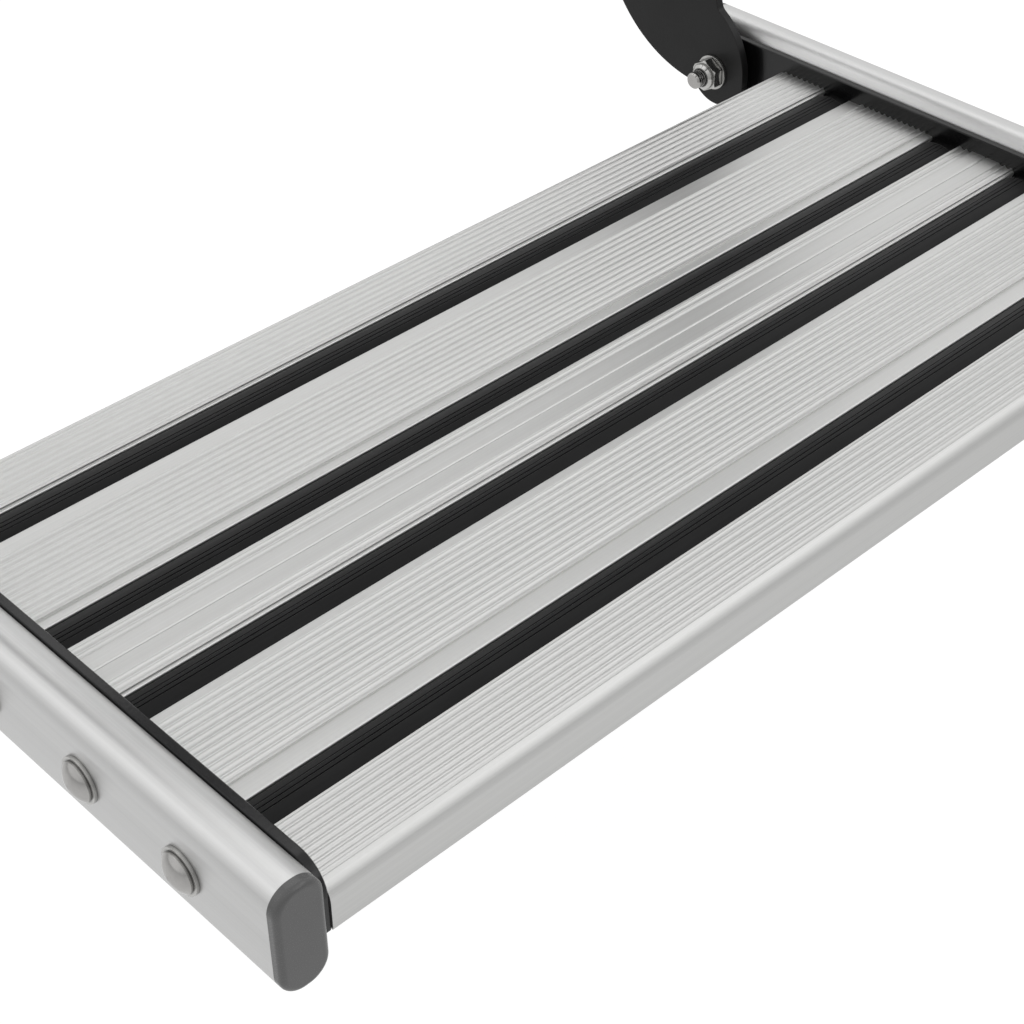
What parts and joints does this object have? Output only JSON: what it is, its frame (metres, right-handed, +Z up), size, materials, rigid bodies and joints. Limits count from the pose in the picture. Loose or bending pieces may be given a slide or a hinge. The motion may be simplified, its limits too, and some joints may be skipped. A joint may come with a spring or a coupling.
{
  "type": "caravan entry step",
  "caption": "Swing-out entry step: ribbed hollow aluminium tread with rubber grip strips, oval side rails, crescent arms and a bolt-on steel frame.",
  "frame": {"origin": "middle of the four floor bolts, on the plane where the two floor flanges meet the vehicle", "axes": "+X along the tread to the right as someone steps up, +Y into the vehicle, +Z up along the floor bolts"},
  "size_m": [0.686, 0.5961, 0.346],
  "materials": {
    "deck_aluminium": "natural anodised, drawn along its length",
    "rail_aluminium": "natural anodised, satin",
    "grip_rubber": "moulded black, low sheen",
    "cap_plastic": "grey, fine grain",
    "black_plate": "black powder coat, satin",
    "black_arm": "black powder coat, satin",
    "black_frame": "black powder coat, satin",
    "bolt_steel": "stainless, bright",
    "washer_steel": "stainless, pressed",
    "nut_steel": "stainless, turned",
    "bush_plastic": "natural acetal",
    "stop_rubber": "moulded black"
  },
  "bodies": {
    "frame": {"crossbar_front": "black_frame", "crossbar_rear": "black_frame", "pivot_shaft": "bolt_steel", "hanger_left": "black_frame", "hanger_right": "black_frame", "shaft_collar_left": "washer_steel", "shaft_collar_right": "washer_steel", "shaft_nut_left": "nut_steel", "shaft_nut_right": "nut_steel", "link_bolt_upper_left": "bolt_steel", "link_bolt_upper_right": "bolt_steel", "link_nut_upper_left": "nut_steel", "link_nut_upper_right": "nut_steel", "link_spacer_upper_left": "washer_steel", "link_spacer_upper_right": "washer_steel", "stop_buffers_left": "stop_rubber", "stop_buffers_right": "stop_rubber", "stop_screws_left": "bolt_steel", "stop_screws_right": "bolt_steel"},
    "arms": {"torque_tube": "black_frame", "swing_arm_left": "black_arm", "swing_arm_right": "black_arm", "arm_bush_left": "bush_plastic", "arm_bush_right": "bush_plastic", "tube_bush_left": "bush_plastic", "tube_bush_right": "bush_plastic"},
    "link_left": {"rear_link_left": "black_arm"},
    "link_right": {"rear_link_right": "black_arm"},
    "tread": {"deck_plank_front": "deck_aluminium", "deck_plank_rear": "deck_aluminium", "grip_strip_front_inner": "grip_rubber", "grip_strip_front_outer": "grip_rubber", "grip_strip_rear_inner": "grip_rubber", "grip_strip_rear_outer": "grip_rubber", "side_plate_left": "black_plate", "side_plate_right": "black_plate", "side_rail_left": "rail_aluminium", "side_rail_right": "rail_aluminium", "end_cap_front_left": "cap_plastic", "end_cap_front_right": "cap_plastic", "end_cap_rear_left": "cap_plastic", "end_cap_rear_right": "cap_plastic", "deck_screws_left": "bolt_steel", "deck_screws_right": "bolt_steel", "deck_washers_left": "washer_steel", "deck_washers_right": "washer_steel", "pivot_bolt_left": "bolt_steel", "pivot_bolt_right": "bolt_steel", "pivot_washers_left": "washer_steel", "pivot_washers_right": "washer_steel", "pivot_nut_left": "nut_steel", "pivot_nut_right": "nut_steel", "pivot_spacer_left": "washer_steel", "pivot_spacer_right": "washer_steel", "link_bolt_lower_left": "bolt_steel", "link_bolt_lower_right": "bolt_steel", "link_nut_lower_left": "nut_steel", "link_nut_lower_right": "nut_steel"}
  },
  "joints": [
    {"name": "arm_swing", "type": "hinge", "parent": "frame", "child": "arms", "pos_m": [0, -0.12, -0.067], "axis": [1, 0, 0], "range_deg": [0, 65]},
    {"name": "tread_level", "type": "hinge", "parent": "arms", "child": "tread", "pos_m": [0, -0.08892, -0.3201], "axis": [1, 0, 0], "range_deg": [-65, 0]},
    {"name": "link_swing_left", "type": "hinge", "parent": "frame", "child": "link_left", "pos_m": [-0.295, -0.08766, -0.05649], "axis": [1, 0, 0], "range_deg": [0, 65]},
    {"name": "link_swing_right", "type": "hinge", "parent": "frame", "child": "link_right", "pos_m": [0.295, -0.08766, -0.05649], "axis": [1, 0, 0], "range_deg": [0, 65]}
  ],
  "couplings": [
    {"joint": "tread_level", "follows": "arm_swing", "ratio": -1},
    {"joint": "link_swing_left", "follows": "arm_swing", "ratio": 1},
    {"joint": "link_swing_right", "follows": "arm_swing", "ratio": 1}
  ]
}
